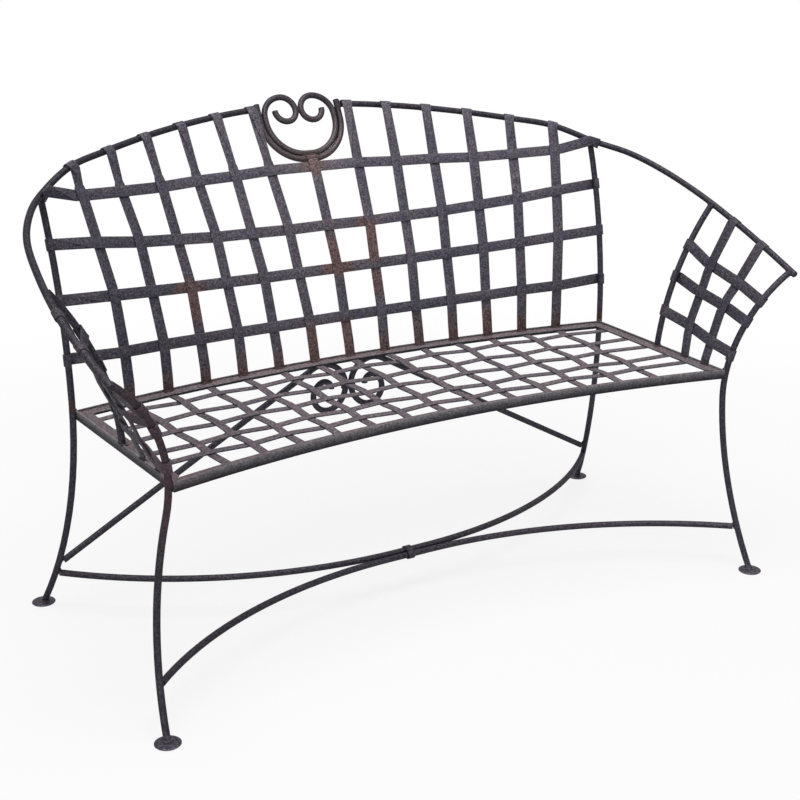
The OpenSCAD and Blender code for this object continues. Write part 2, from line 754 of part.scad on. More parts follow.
// Back slat i, counted from the middle: from the back rail, over and under the straps, and
// round the crest rail. The middle slat ends on the front of the loop instead. Slats left of
// the middle are the mirror images of those on the right.
module back_slat(i) {
    color(rusty)
        handed(i < 0 ? "left" : "right")
            strip(slat_path(abs(i)));
}

function slat_path(i) =
    let (across = function (z) unit(cross(back_up(i, z), back_normal(i, z))),
        low = slat_foot(i)[2])
    concat([for (z = [low, low + 30]) [back_at(i, z), across(z)]],
        [for (k = [4:-1:1], e = [-1, 1])
            let (z = strap_z(i, k) + e * flat_run)
            [back_at(i, z) + slat_side(i, k) * weave * back_normal(i, z), across(z)]],
        i == 0 ? loop_end() : rail_end(i));

function loop_end() =
    let (c = [0, loop_plane[1] - loop_depth * sin(crest_lean),
            loop_plane[2] - loop_depth * cos(crest_lean)],
        up = [0, sin(crest_lean), cos(crest_lean)],
        n = [0, -cos(crest_lean), sin(crest_lean)])
    [for (a = [0, 25, 50]) [c + wrap_r * (cos(a) * n + sin(a) * up), [-1, 0, 0]]];

function rail_end(i) =
    let (rail = rail_dir(i), head = slat_head(i),
        up = back_up(i, head[2] - 20),
        along = unit(up - rail * (rail * up)))
    wrap_path(head, cross(rail, along), along, -rail, rail_bend(i));

// Back strap k, from upright to upright; k = 1 is the top one
module back_strap(k) {
    across = function (i) unit(cross(back_normal(i, strap_z(i, k)),
        back_at(i + 0.1, strap_z(i + 0.1, k)) - back_at(i - 0.1, strap_z(i - 0.1, k))));
    woven = [for (i = [-6:6], e = [-1, 1])
        let (j = i + e * flat_run / slat_pitch, z = strap_z(j, k))
        [back_at(j, z) - slat_side(i, k) * weave * back_normal(j, z), across(j)]];
    right = upright_end(k);
    left = [for (j = [len(right) - 1:-1:0])
        [mirrored(right[j][0]), -mirrored(right[j][1])]];
    color(rusty)
        placed()
            strip(concat(left, woven, right));
}

function mirrored(v) = [-v[0], v[1], v[2]];

// Right-hand end of back strap k: the top one lies along the crest rail's inner side where
// the upright meets it, the others wrap round the upright
function upright_end(k) = k == 1 ? corner_end() :
    let (z = strap_z(6.6, k),
        f = share_at(back_leg_knee, back_leg_dir, upright_top, z),
        c = arc_at(back_leg_knee, back_leg_dir, upright_top, f),
        rod = arc_dir(back_leg_knee, back_leg_dir, upright_top, f),
        from = back_at(6.3, z),
        along = unit((c - from) - rod * (rod * (c - from))),
        n = -slat_side(7, k) * cross(along, rod))
    wrap_path(c, n, along, rod, bend_radius(back_leg_knee, back_leg_dir, upright_top));

function corner_end() =
    [for (t = [upright_at - 0.06, upright_at + 0.18])
        let (rail = rail_dir(t), n = -unit(cross([0, 0, 1], rail)))
        [rail_at(t) + wrap_r * n, cross(n, rail)]];

module seat_slat(i) {
    across = unit(cross(seat_dir(i), [0, 0, 1]));
    woven = [for (k = [1:5], e = [-1, 1])
        [seat_at(i, k) + e * seat_flat * seat_dir(i) + seat_side(i, k) * weave * seat_normal(i, k),
            across]];
    ends = [[seat_front_end(i), across], [seat_front_in(i), across]];
    color(rusty)
        placed()
            strip(concat(ends, woven,
                [for (in = [flange_w + 2 - seat_end, 0]) [seat_back_end(i) - in * seat_dir(i), across]]),
                seat_strap_w);
}

module seat_strap(k) {
    woven = [for (i = [-6:6], e = [-1, 1])
        [seat_at(i, k) + e * seat_flat * seat_along(i, k) - seat_side(i, k) * weave * seat_normal(i, k),
            seat_dir(i)]];
    y = seat_at(7.4, k)[1];
    right = [for (in = [flange_w + 2, seat_end])
        [[side_x(y) - in, y, seat_h - weave_drop], [0, 1, 0]]];
    left = [for (j = [1, 0]) [mirrored(right[j][0]), right[j][1]]];
    color(rusty)
        placed()
            strip(concat(left, woven, right), seat_strap_w);
}

// Arm post: from the top of the side rail to the arm rail
module arm_post(side) {
    color(iron)
        handed(side)
            bent_rod(post_foot, post_dir, post_top,
                butt(arc_dir(post_foot, post_dir, post_top, 1), rail_dir(post_at)));
}

// Two flat slats in each arm: they stand on the side rail, and run up and round the arm rail
module arm_slats(side) {
    color(rusty)
        handed(side)
            for (j = [1, 2])
                strip(arm_slat_path(j));
}

function arm_slat_path(j) =
    let (b = arm_slat_foot(j), head = rail_at(arm_slat_at[j - 1]), rail = rail_dir(arm_slat_at[j - 1]),
        w = unit(flat3(corner_front - corner_back, 0)),
        up = unit(head - arm_at(j, head[2] - 20)),
        along = unit(up - rail * (rail * up)),
        n = cross(along, rail))
    concat([for (z = [0, 6]) [b + [0, 0, z], w]],
        [for (k = [3:-1:1], e = [-1, 1])
            [arm_cross(j, k) + e * arm_flat * arm_up(j, k) - arm_side(j, k) * arm_weave * arm_out(j, k),
                cross(arm_out(j, k), arm_up(j, k))]],
        wrap_path(head, -n, along, rail, rail_bend(arm_slat_at[j - 1])));

// Three flat straps in each arm, wrapped round the post and the front leg
module arm_straps(side) {
    color(rusty)
        handed(side)
            for (k = [1:3])
                strip(arm_strap_path(k));
}

function arm_strap_path(k) =
    let (a = arm_strap_end(0, k), b = arm_strap_end(3, k), p = arm_cross(1, k), q = arm_cross(2, k),
        rear = arm_wrap(a, arm_rod_dir(0, k), unit(a - p), arm_side(0, k),
            bend_radius(post_foot, post_dir, post_top)),
        front = arm_wrap(b, arm_rod_dir(3, k), unit(b - q), arm_side(3, k),
            bend_radius(front_leg_knee, front_leg_dir, arm_tip)))
    concat([for (i = [len(rear) - 1:-1:0]) rear[i]],
        [for (j = [1, 2], e = [-1, 1])
            [arm_cross(j, k) + e * arm_flat * arm_run(k) + arm_side(j, k) * arm_weave * arm_out(j, k),
                cross(arm_run(k), arm_out(j, k))]],
        front);

function arm_wrap(c, rod, away, side, r) =
    let (along = unit(away - rod * (rod * away)), out = cross(along, rod),
        n = out * side * sign(out[0]))
    wrap_path(c, n, along, rod, r);

front_rail();
back_rail();
front_stretcher();
back_stretcher();
stretcher_collar();
brace_collar();
crest_loop();
heart_scroll();
feet();
for (s = sides) {
    side_rail(s);
    front_leg(s);
    back_leg(s);
    crest_rail(s);
    arm_post(s);
    arm_slats(s);
    arm_straps(s);
    brace(s);
}
for (i = [-6:6]) {
    back_slat(i);
    seat_slat(i);
}
for (k = [1:4])
    back_strap(k);
for (k = [1:5])
    seat_strap(k);
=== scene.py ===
import math

import bmesh
import bpy
from mathutils import Matrix, Vector, noise
from mathutils.bvhtree import BVHTree


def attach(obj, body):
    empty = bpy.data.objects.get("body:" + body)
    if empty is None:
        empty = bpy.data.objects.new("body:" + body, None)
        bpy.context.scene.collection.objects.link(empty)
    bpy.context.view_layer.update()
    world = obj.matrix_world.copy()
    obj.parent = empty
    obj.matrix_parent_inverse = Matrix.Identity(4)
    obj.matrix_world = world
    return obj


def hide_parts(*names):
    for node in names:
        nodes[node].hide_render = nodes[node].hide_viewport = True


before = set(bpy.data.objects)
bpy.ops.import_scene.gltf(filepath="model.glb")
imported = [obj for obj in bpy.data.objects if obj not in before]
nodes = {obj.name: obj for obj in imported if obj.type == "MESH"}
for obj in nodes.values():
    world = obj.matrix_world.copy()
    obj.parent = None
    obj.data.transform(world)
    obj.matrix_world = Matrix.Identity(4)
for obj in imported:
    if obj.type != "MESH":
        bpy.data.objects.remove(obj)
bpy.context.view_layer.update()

rodRadius = 0.00635  # rods are half an inch thick
seatTop = 0.430  # top of the seat rails' flanges
slatCount = 13  # in the back, and as many in the seat
seatStrapCount = 5
hands = {"right": 1.0, "left": -1.0}
upward = Vector((0.0, 0.0, 1.0))
downward = Vector((0.0, 0.0, -1.0))
sideways = Vector((1.0, 0.0, 0.0))


class Graph:
    def __init__(self, name):
        self.material = bpy.data.materials.new(name)
        self.material.use_nodes = True
        self.tree = self.material.node_tree
        self.tree.nodes.clear()

    def put(self, socket, value):
        if isinstance(value, bpy.types.Node):
            value = value.outputs[0]
        if isinstance(value, bpy.types.NodeSocket):
            self.tree.links.new(value, socket)
        elif isinstance(value, tuple) and len(value) == 3 and socket.type == "RGBA":
            socket.default_value = (*value, 1.0)
        else:
            socket.default_value = value

    def node(self, kind, inputs=None, **settings):
        made = self.tree.nodes.new("ShaderNode" + kind)
        for key, value in settings.items():
            setattr(made, key, value)
        for key, value in (inputs or {}).items():
            self.put(made.inputs[key], value)
        return made

    def math(self, operation, a, b=0.0, clamp=False):
        return self.node("Math", {0: a, 1: b}, operation=operation, use_clamp=clamp)

    def times(self, a, b):
        return self.math("MULTIPLY", a, b)

    def noise(self, place, scale, detail, roughness, distortion=0.0):
        return self.node("TexNoise", {"Vector": place, "Scale": scale, "Detail": detail,
            "Roughness": roughness, "Distortion": distortion})

    def distance(self, place, spot):
        return self.node("VectorMath", {0: place, 1: spot}, operation="DISTANCE").outputs["Value"]

    def spread(self, value, low, high, outLow=0.0, outHigh=1.0, shape="SMOOTHSTEP"):
        return self.node("MapRange", {"Value": value, "From Min": low, "From Max": high,
            "To Min": outLow, "To Max": outHigh}, interpolation_type=shape)

    def fade(self, value, name, *shares):
        return self.spread(value, *ironFades[name], *shares)

    def mix(self, share, a, b, blend="MIX"):
        made = self.node("Mix", data_type="RGBA", blend_type=blend)
        self.put(made.inputs[0], share)
        self.put(made.inputs[6], a)
        self.put(made.inputs[7], b)
        return made.outputs[2]


ironColours = {
    "slate": (0.049, 0.046, 0.063),
    "slateLight": (0.091, 0.086, 0.108),
    "brown": (0.096, 0.072, 0.079),
    "brownLight": (0.186, 0.150, 0.160),
    "rust": (0.150, 0.096, 0.090),
    "rustDark": (0.084, 0.051, 0.050),
    "plum": (0.122, 0.074, 0.086),
    # abraded paint and painted highlight on edges, and painted light on the rails' upright faces
    "edgeWearAndHighlight": (0.330, 0.316, 0.336),
    # painted shade on faces that look down
    "paintedUndersideShade": (0.010, 0.009, 0.012),
}

# how each kind of stock has weathered, and the painted light and shade it gets on its tops, its
# sides and in the arm panels: dents and pits in metres, the rest shares and factors
ironLooks = {
    "rod_iron": {"tone": 0.94, "side": 0.74, "high": 0.76, "arms": 1.0, "brown": 0.16,
        "seat": 0.30, "rust": 0.00, "rough": 0.36, "dent": 0.0009, "pit": 0.00030,
        "speckle": 0.80, "metal": 0.60, "wearAndHighlight": 0.60},
    "strap_iron": {"tone": 1.60, "side": 0.74, "high": 1.0, "arms": 0.72, "brown": 0.25,
        "seat": 0.42, "rust": 0.03, "rough": 0.52, "dent": 0.0005, "pit": 0.00035,
        "speckle": 1.10, "metal": 0.35, "wearAndHighlight": 0.35},
    "angle_iron": {"tone": 1.58, "side": 0.20, "high": 1.0, "arms": 1.0, "brown": 0.46,
        "seat": 0.74, "rust": 0.03, "rough": 0.50, "dent": 0.0004, "pit": 0.00030,
        "speckle": 0.90, "metal": 0.35, "wearAndHighlight": 0.74},
    "weld": {"tone": 0.98, "side": 0.74, "high": 1.0, "arms": 1.0, "brown": 0.60,
        "seat": 0.40, "rust": 0.16, "rough": 0.58, "dent": 0.0010, "pit": 0.00050,
        "speckle": 1.00, "metal": 0.30, "wearAndHighlight": 0.60},
}

# shares and factors that all the iron has in common
# the first two are painted light on faces that look up: a lighter brown colour, and the tone of top
# faces
ironSkin = {"paintedTopLight": 0.16, "litTopTone": 0.84, "pitDark": 0.60, "crownLight": 0.56,
    "grainTone": 0.22, "wornPits": 0.35, "smoother": 0.08, "rougher": 0.14, "rustRough": 0.26,
    "dentStrength": 0.9, "pitStrength": 0.85, "gloss": 0.22, "glossTint": (0.20, 0.20, 0.22)}

# patterns in the finish: scale, detail, roughness and, where there is one, distortion
ironPatterns = {"patches": (7.0, 4.0, 0.6), "mottle": (46.0, 5.0, 0.68, 0.4),
    "grain": (225.0, 4.0, 0.72), "speck": (440.0, 3.0, 0.70), "rust": (26.0, 6.0, 0.72, 0.6),
    "dents": (58.0, 2.0, 0.5)}

# where the finish changes: from, to, and what it is at either end, unless that is 0 and 1 or is
# set by the code below
ironFades = {
    "skyward": (0.15, 0.90),  # how far a face looks up: 1 is up, -1 is down
    "tops": (0.40, 0.95),
    "undersides": (-0.95, -0.10, 0.60, 0.0),
    "edgeLightBySlope": (-0.50, 0.30, 0.15, 1.0),
    "seatFrom": (0.405, 0.416),  # heights in metres
    "seatUpTo": (0.436, 0.446, 1.0, 0.0),
    "footRustFrom": (0.4295, 0.4325),
    "footRustUpTo": (0.432, 0.490, 0.52, 0.0),
    "high": (0.62, 0.80),
    "heart": (0.80, 0.93, 1.0, 0.45),
    "scuffedFeet": (0.008, 0.022, 1.55, 1.0),
    "back": (0.05, 0.12),  # places in metres: depth here, sideways in the next two
    "arms": (0.585, 0.635),
    "leftSide": (-0.50, -0.15, 0.83, 1.0),
    "brown": (0.40, 0.68),  # values of the patterns
    "mottle": (0.40, 0.66, -0.07, 0.08),
    "plum": (0.36, 0.56, 0.35, 1.0),
    "coat": (0.34, 0.66),
    "bare": (0.38, 0.62),
    "rust": (0.40, 0.60),
    "rustShows": (0.60, 1.04, 0.0, 0.90),
    "skinAndShade": (0.34, 0.66),
    "wornGrain": (0.34, 0.70),
    "roughGrain": (0.35, 0.65),
    "pits": (0.30, 0.62),
    "metal": (0.0, 0.8),
}

# rust on the back: sideways place, height, radius and strength of each patch
rustPatches = [(-0.345, 0.590, 0.050, 0.55), (-0.085, 0.455, 0.060, 0.60),
    (0.000, 0.460, 0.055, 0.55), (0.000, 0.630, 0.055, 0.60), (0.000, 0.815, 0.040, 0.50),
    (0.085, 0.655, 0.050, 0.70), (0.085, 0.570, 0.035, 0.45), (0.170, 0.465, 0.050, 0.38),
    (0.335, 0.455, 0.050, 0.60), (-0.255, 0.450, 0.040, 0.38), (0.252, 0.462, 0.042, 0.36)]
rustEdge = {"core": 0.35, "reach": 1.25}  # a patch fades between these shares of its radius

# plum-brown rust on the front left leg, where it meets the seat and up to the arm
plumPatches = [((-0.598, -0.318, 0.425), 0.13, 0.85), ((-0.625, -0.335, 0.520), 0.12, 0.85),
    ((-0.655, -0.345, 0.590), 0.09, 0.60), ((-0.605, -0.320, 0.350), 0.08, 0.45)]
plumEdge = {"core": 0.2}

# the heart and its loop are lighter, partly as a painted highlight, and brown towards the bottom;
# some of the lighter colour spills onto the flat stock near it as painted light
heartBrownAndHighlight = {"place": (0.0, 0.345, 0.860), "near": 0.085, "far": 0.125, "rods": 0.80,
    "flats": 0.22, "colour": (0.205, 0.166, 0.170)}


def rustField(g, place, axes):
    flat = g.node("VectorMath", {0: place, 1: (1.0, 0.0, 1.0)}, operation="MULTIPLY")
    field = None
    for x, z, radius, strength in rustPatches:
        patch = g.spread(g.distance(flat, (x, 0.0, z)), radius * rustEdge["core"],
            radius * rustEdge["reach"], strength, 0.0)
        field = patch if field is None else g.math("MAXIMUM", field, patch)
    # all slats rust a little at their feet
    foot = g.math("MAXIMUM", field, g.fade(axes.outputs[2], "footRustUpTo"))
    foot = g.times(foot, g.fade(axes.outputs[2], "footRustFrom"))
    return g.times(foot, g.fade(axes.outputs[1], "back"))


def plumField(g, place):
    field = 0.0
    for spot, radius, strength in plumPatches:
        patch = g.spread(g.distance(place, spot), radius * plumEdge["core"], radius, strength, 0.0)
        field = g.math("MAXIMUM", field, patch)
    return field


def ironMaterial(name, look):
    g = Graph(name)
    c = ironColours
    skin = ironSkin
    place = g.node("TexCoord").outputs["Object"]
    axes = g.node("SeparateXYZ", {0: place})
    z = axes.outputs[2]
    facing = g.node("SeparateXYZ", {0: g.node("NewGeometry").outputs["Normal"]}).outputs[2]
    skyward = g.fade(facing, "skyward")
    patches, mottle, grain, speck = [g.noise(place, *ironPatterns[kind])
        for kind in ("patches", "mottle", "grain", "speck")]
    # the seat's upward faces lean to bare brown, partly wear from sitting and partly painted light,
    # and whatever faces the sky gets a lighter brown as painted light from above
    onSeat = g.times(g.fade(z, "seatUpTo"), g.fade(z, "seatFrom"))
    bareShareAndTopLight = g.math("ADD", g.times(g.times(onSeat, skyward), look["seat"]),
        g.times(skyward, skin["paintedTopLight"]))
    bareShareAndTopLight = g.math("ADD", bareShareAndTopLight, g.fade(patches, "brown", 0.0, look["brown"]))
    bareShareAndTopLight = g.math("ADD", bareShareAndTopLight, g.fade(mottle, "mottle"), clamp=True)
    coat = g.mix(g.fade(grain, "coat"), c["slate"], c["slateLight"])
    bare = g.mix(g.fade(grain, "bare"), c["brown"], c["brownLight"])
    colour = g.mix(bareShareAndTopLight, coat, bare)
    # rust breaks through where its pattern is strong, and more easily in the patches
    seed = g.math("ADD", rustField(g, place, axes), look["rust"])
    field = g.math("ADD", g.noise(place, *ironPatterns["rust"]), seed)
    rustShare = g.fade(field, "rustShows")
    rust = g.mix(g.fade(grain, "rust"), c["rustDark"], c["rust"])
    colour = g.mix(rustShare, colour, rust)
    # the heart's lighter brown with its painted highlight, then the plum-brown on the left front
    # leg
    heartHighlightShare = g.spread(g.distance(place, heartBrownAndHighlight["place"]), heartBrownAndHighlight["near"], heartBrownAndHighlight["far"],
        heartBrownAndHighlight["rods"] if name.startswith("rod") else heartBrownAndHighlight["flats"], 0.0)
    colour = g.mix(g.times(heartHighlightShare, g.fade(z, "heart")), colour, heartBrownAndHighlight["colour"])
    plum = g.times(plumField(g, place), g.fade(mottle, "plum"))
    colour = g.mix(plum, colour, c["plum"])
    # the pitted skin is darker in its pits and lighter where it stands proud
    reach = look["speckle"]
    skinAndShade = g.fade(speck, "skinAndShade", 1.0 - skin["pitDark"] * reach,
        1.0 + skin["crownLight"] * reach, "LINEAR")
    skinAndShade = g.times(skinAndShade, g.fade(grain, "skinAndShade", 1.0 - skin["grainTone"] * reach,
        1.0 + skin["grainTone"] * reach, "LINEAR"))
    # painted light and shade: faces that look up get the top tone and faces that look sideways a
    # darker one, darkest on the angle iron
    skinAndShade = g.times(skinAndShade, g.fade(facing, "tops", look["tone"] * look["side"],
        look["tone"] * skin["litTopTone"]))
    # rods are darker high up, and the feet are scuffed
    skinAndShade = g.times(skinAndShade, g.fade(z, "high", 1.0, look["high"]))
    skinAndShade = g.times(skinAndShade, g.fade(z, "scuffedFeet"))
    # flat stock in the arm panels gets painted shade, and all the iron is darker at the left
    aside = g.math("ABSOLUTE", axes.outputs[0])
    skinAndShade = g.times(skinAndShade, g.fade(aside, "arms", 1.0, look["arms"]))
    skinAndShade = g.times(skinAndShade, g.fade(axes.outputs[0], "leftSide"))
    colour = g.mix(1.0, colour, skinAndShade, "MULTIPLY")
    # faces that look down are darkened as painted shade, and edges get a light colour, stronger on
    # faces that look up: abraded paint and a painted highlight
    colour = g.mix(g.fade(facing, "undersides"), colour, c["paintedUndersideShade"])
    wearAndHighlight = g.times(g.node("Attribute", attribute_name="wearAndHighlight").outputs["Fac"],
        g.times(g.fade(grain, "wornGrain", look["wearAndHighlight"] * skin["wornPits"], look["wearAndHighlight"]),
            g.fade(facing, "edgeLightBySlope")))
    colour = g.mix(wearAndHighlight, colour, c["edgeWearAndHighlight"])
    rough = g.math("ADD", g.fade(grain, "roughGrain", look["rough"] - skin["smoother"],
        look["rough"] + skin["rougher"]), g.times(rustShare, skin["rustRough"]), clamp=True)
    dents = g.node("Bump", {"Height": g.noise(place, *ironPatterns["dents"]),
        "Distance": look["dent"], "Strength": skin["dentStrength"]})
    pits = g.node("Bump", {"Height": g.fade(speck, "pits"), "Distance": look["pit"],
        "Strength": skin["pitStrength"], "Normal": dents})
    shader = g.node("BsdfPrincipled", {"Base Color": colour, "Roughness": rough,
        "Metallic": g.fade(rustShare, "metal", look["metal"], 0.0), "Normal": pits,
        "Specular IOR Level": skin["gloss"], "Specular Tint": skin["glossTint"]})
    g.put(g.node("OutputMaterial").inputs["Surface"], shader)
    return g.material


# each iron material holds its finish together with painted light and shade
irons = {name: ironMaterial(name + "FinishAndPaintedLight", look) for name, look in ironLooks.items()}
print("materials made")


def dress(piece, finish):
    piece.data.materials.clear()
    piece.data.materials.append(irons[finish])


# edges sharper than the crease, in degrees, stay crisp
def finishMesh(name, bm, slot, finish=None, crease=40.0):
    bmesh.ops.recalc_face_normals(bm, faces=bm.faces)
    mesh = bpy.data.meshes.new(name)
    bm.to_mesh(mesh)
    bm.free()
    for polygon in mesh.polygons:
        polygon.use_smooth = True
    mesh.set_sharp_from_angle(angle=math.radians(crease))
    piece = bpy.data.objects.new(name, mesh)
    bpy.context.scene.collection.objects.link(piece)
    dress(piece, finish or slot)
    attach(piece, "root")
    return piece


# a copy of a solid's mesh, in which points that lie together are one
def meshOf(node, together=2e-6):
    bm = bmesh.new()
    bm.from_mesh(nodes[node].data)
    bmesh.ops.remove_doubles(bm, verts=bm.verts, dist=together)
    return bm


def surfaceOf(node):
    bm = meshOf(node)
    tree = BVHTree.FromBMesh(bm)
    bm.free()
    return tree


# slats and straps are hammered thin where they go round the rods: how far they are drawn to the
# rod, and the gaps to it between which that sets in and ends, in metres
wraps = {"draw": 0.0014, "drawOnRail": 0.0023, "low": 0.0014, "full": 0.0028, "hold": 0.0037,
    "end": 0.0062}
wrappedRods = {"arm_straps": ("front_leg_", "arm_post_"), "arm_slats": ("crest_rail_",),
    "back_slat": ("crest_rail_",), "back_strap": ("back_leg_",)}
rodSurfaces = {rod + hand: surfaceOf(rod + hand)
    for rod in sorted(set(sum(wrappedRods.values(), ()))) for hand in hands}


def thinWraps(bm, node):
    c = wraps
    draw = c["drawOnRail"] if node.startswith("arm_slats") else c["draw"]
    rods = [rodSurfaces[rod + hand] for kind, names in wrappedRods.items()
        if node.startswith(kind) for rod in names for hand in hands]
    for vert in bm.verts if rods else ():
        found = (rod.find_nearest(vert.co) for rod in rods)
        spot, _, _, gap = min(found, key=lambda hit: hit[3])
        rise = (gap - c["low"]) / (c["full"] - c["low"])
        fall = (c["end"] - gap) / (c["end"] - c["hold"])
        share = max(0.0, min(1.0, rise, fall))
        vert.co += (spot - vert.co).normalized() * draw * share


# flat stock keeps its solid's place and gets rounded edges: angles in degrees, lengths in metres,
# and slopes from 0 for upright to 1 for level
flatStock = {"edge": 0.00055, "segments": 2, "sharp": 40.0, "merge": 0.6, "crease": 35.0,
    "rim": 0.0045, "rimSlope": 0.7, "uprightSlope": 0.3}


def softenedStock(node, slot):
    c = flatStock
    bm = meshOf(node)
    thinWraps(bm, node)
    bmesh.ops.dissolve_limit(bm, angle_limit=math.radians(c["merge"]), verts=bm.verts,
        edges=bm.edges)
    wearAndHighlight = bm.verts.layers.float.new("wearAndHighlight")
    edges = [e for e in bm.edges if len(e.link_faces) == 2
        and e.calc_face_angle(0.0) > math.radians(c["sharp"])]
    made = bmesh.ops.bevel(bm, geom=edges, offset=c["edge"], offset_type="OFFSET",
        segments=c["segments"], profile=0.5, affect="EDGES", clamp_overlap=True)
    rounded = set(made["faces"])
    # the middle of each rounded edge takes the light edge colour: abraded paint and a painted
    # highlight
    for vert in bm.verts:
        if all(face in rounded for face in vert.link_faces):
            vert[wearAndHighlight] = 1.0  # the crown of the rounded edge
    # the seat's rails get the light edge colour on top of their rim, as abraded paint and a painted
    # highlight, and along the top of upright faces as painted light
    if slot == "angle_iron":
        for face in bm.faces:
            width = face.calc_area() / max(e.calc_length() for e in face.edges)
            middle = face.calc_center_median().z
            for vert in face.verts if face not in rounded else ():
                onRim = face.normal.z > c["rimSlope"] and width < c["rim"]
                onUpright = abs(face.normal.z) < c["uprightSlope"] and vert.co.z > middle
                if onRim or onUpright:
                    vert[wearAndHighlight] = 1.0
    bmesh.ops.triangulate(bm, faces=[f for f in bm.faces if len(f.verts) > 4])
    piece = finishMesh(node + "_stock", bm, slot, crease=c["crease"])
    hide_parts(node)


flatNodes = {"strap_iron": [n for n in nodes if "slat" in n or "strap" in n],
    "angle_iron": ["front_rail", "back_rail", "side_rail_right", "side_rail_left"]}
for slot, names in flatNodes.items():
    for name in sorted(names):
        softenedStock(name, slot)
print("flat stock softened")


def ringAt(bm, place, side, up, radius, count):
    turn = 2.0 * math.pi / count
    return [bm.verts.new(place + (side * math.cos(k * turn) + up * math.sin(k * turn)) * radius)
        for k in range(count)]


def joinRings(bm, first, second):
    for k in range(len(first)):
        n = (k + 1) % len(first)
        bm.faces.new((first[k], first[n], second[n], second[k]))


def sweptTube(bm, points, radii, count, closed=False):
    last = len(points) - 1
    rings = []
    side = None
    for i, place in enumerate(points):
        before = points[i - 1] if i or closed else points[0]
        after = points[(i + 1) % len(points)] if i < last or closed else points[last]
        along = (after - before).normalized()
        if side is None:
            side = along.orthogonal()
        side = (side - along * side.dot(along)).normalized()
        rings.append(ringAt(bm, place, side, along.cross(side), radii[i], count))
    for first, second in zip(rings, rings[1:]):
        joinRings(bm, first, second)
    if not closed:
        bm.faces.new(rings[0])
        bm.faces.new(rings[-1])
        return
    # a closed tube may come back turned, so its last ring joins the nearest points of the first
    twist = min(range(count), key=lambda k: (rings[0][k].co - rings[-1][0].co).length)
    joinRings(bm, rings[-1], rings[0][twist:] + rings[0][:twist])


# crest rail: smooth round rod on the path of its solid, right half, in metres; start and end
# count stations, and the cut ends are dressed with a file
crestRail = {"tops": 0.1125, "pitch": 0.0873, "topStations": 7, "back": 0.387117, "sweep": 0.162,
    "height": 0.925, "fall": 0.062, "half": 0.549, "power": 1.85, "start": 0.8705, "end": 13.1,
    "steps": 230, "sides": 24, "dressed": 0.0009,
    "shoulder": [(0.621, 0.169117, 0.830), (0.668, 0.096117, 0.808), (0.700, 0.015117, 0.777),
        (0.715, -0.089883, 0.738), (0.719, -0.196883, 0.696), (0.713, -0.290883, 0.661),
        (0.704, -0.372883, 0.631)]}


def crestStations():
    c = crestRail
    stations = []
    for i in range(c["topStations"]):
        x = c["tops"] + (i - 1) * c["pitch"]
        share = (x / c["half"]) ** c["power"]
        stations.append(Vector((x, c["back"] - c["sweep"] * share,
            c["height"] - c["fall"] * share)))
    return stations + [Vector(p) for p in c["shoulder"]]


# a smooth curve through the stations, carried straight on past both ends
def railPoint(stations, t):
    p = [2 * stations[0] - stations[1], *stations, 2 * stations[-1] - stations[-2],
        3 * stations[-1] - 2 * stations[-2]]
    i = min(int(t), len(stations) - 1)
    u = t - i
    a, b, c, d = p[i], p[i + 1], p[i + 2], p[i + 3]
    return 0.5 * (2 * b + (c - a) * u + (2 * a - 5 * b + 4 * c - d) * u * u
        + (3 * b - a - 3 * c + d) * u * u * u)


def makeCrestRails():
    c = crestRail
    stations = crestStations()
    reach = c["end"] - c["start"]
    cut = c["dressed"]
    for hand, sign in hands.items():
        path = [railPoint(stations, c["start"] + reach * k / c["steps"])
            for k in range(c["steps"] + 1)]
        path = [Vector((p.x * sign, p.y, p.z)) for p in path]
        radii = [rodRadius] * len(path)
        radii[0] = radii[-1] = rodRadius - cut
        path[1] = path[0].lerp(path[1], min(1.0, cut / (path[1] - path[0]).length))
        path[-2] = path[-1].lerp(path[-2], min(1.0, cut / (path[-2] - path[-1]).length))
        bm = bmesh.new()
        sweptTube(bm, path, radii, c["sides"])
        piece = finishMesh("crest_rod_" + hand, bm, "rod_iron")
        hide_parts("crest_rail_" + hand)


makeCrestRails()
print("crest rails swept")

# all other rods, the feet and the collars show their solids as they are
kept = [n for n in nodes if n not in sum(flatNodes.values(), []) and "crest_rail" not in n]
for name in kept:
    dress(nodes[name], "rod_iron")
print("rods dressed")


def middleOf(points):
    return Vector([(min(p[k] for p in points) + max(p[k] for p in points)) / 2 for k in range(3)])


# middle of a rod where a plane cuts it, read from its solid: the plane may cut a bent rod twice,
# and the cut within reach of the given place counts
def middleAt(node, place, across, reach=0.09):
    bm = meshOf(node)
    cut = bmesh.ops.bisect_plane(bm, geom=bm.verts[:] + bm.edges[:] + bm.faces[:],
        plane_co=place, plane_no=across)
    found = [e.co.copy() for e in cut["geom_cut"] if isinstance(e, bmesh.types.BMVert)]
    bm.free()
    return middleOf([p for p in found if (p - Vector(place)).length < reach] or found)


# weld beads: overlapping ripples laid round a rod or along an edge, in metres; the numbers named
# vary, here and below, give each bead lumps of its own
weldBead = {"ripple": 0.0031, "lump": 0.30, "wave": 0.35, "sunk": 0.18, "uneven": 0.9,
    "grain": 140.0, "sides": 10, "around": 40, "off": 0.35, "above": 0.012, "probe": 0.022,
    "settled": 3, "step": 0.0011, "fewest": 6, "tip": 0.08, "run": 0.84, "taper": 0.45,
    "crease": 60.0, "vary": 0.37}


def rippled(place, along, seed):
    c = weldBead
    ripple = 0.5 + 0.5 * math.cos(2.0 * math.pi * along / c["ripple"])
    uneven = noise.noise(place * c["grain"] + Vector((seed, 0.0, 0.0)))
    return 1.0 + c["lump"] * (c["wave"] * ripple - c["sunk"] + c["uneven"] * uneven)


